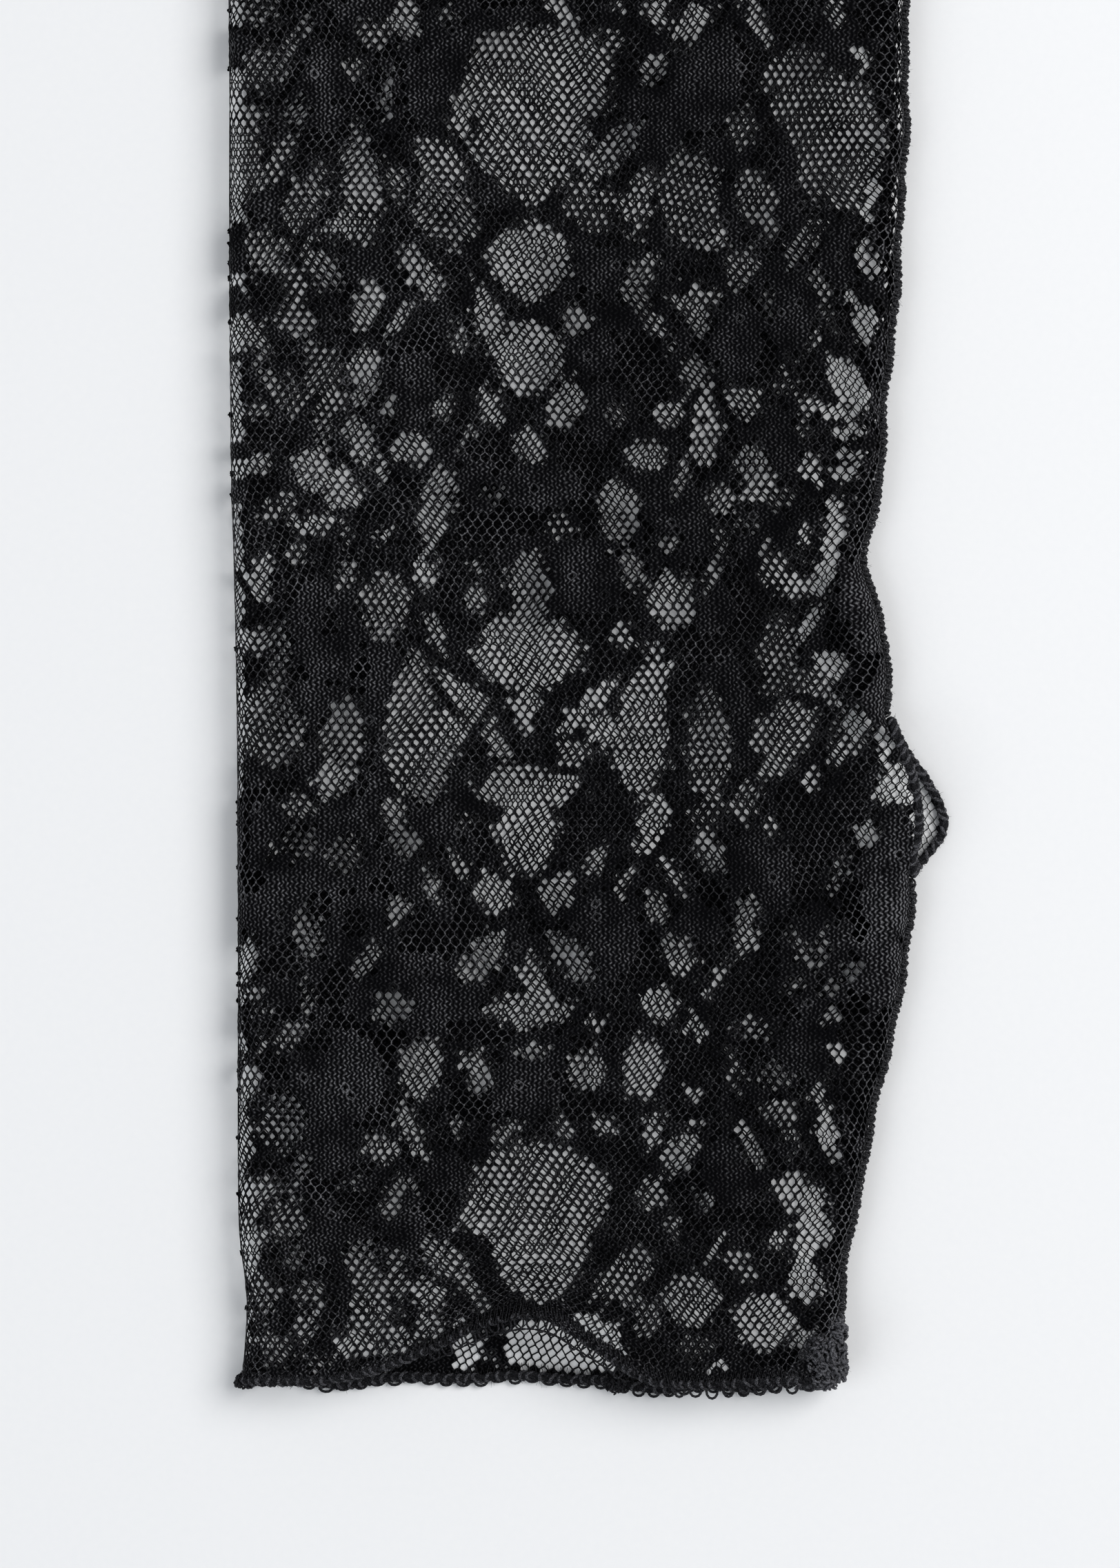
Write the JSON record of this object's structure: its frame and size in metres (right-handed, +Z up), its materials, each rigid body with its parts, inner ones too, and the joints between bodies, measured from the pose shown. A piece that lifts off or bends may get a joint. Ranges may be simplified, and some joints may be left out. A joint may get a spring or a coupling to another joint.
{
  "type": "long fingerless lace evening mitten",
  "caption": "Long fingerless stretch-lace glove lying flat, an open tube with a thumb opening in the side seam and overlocked hems.",
  "frame": {"origin": "on the surface under the middle of the glove's box", "axes": "+Z up out of the surface, +Y from the finger opening to the arm opening, +X to the side with the thumb opening"},
  "size_m": [0.1078, 0.3601, 0.0101],
  "materials": {
    "lace_yarn": "black synthetic warp-knit lace: fine hexagonal net with denser knitted flowers, leaves and stems, faint silky sheen on the threads",
    "hem_yarn": "black textured overlock yarn wound over the edge as a plump twisted cord with small loops",
    "seam_thread": "black overlock seam with small knots"
  },
  "bodies": {
    "root": {"lace_sleeve": "lace_yarn", "finger_hem": "hem_yarn", "thumb_hem": "hem_yarn", "arm_hem": "hem_yarn", "hand_seam": "seam_thread", "arm_seam": "seam_thread"}
  },
  "joints": []
}
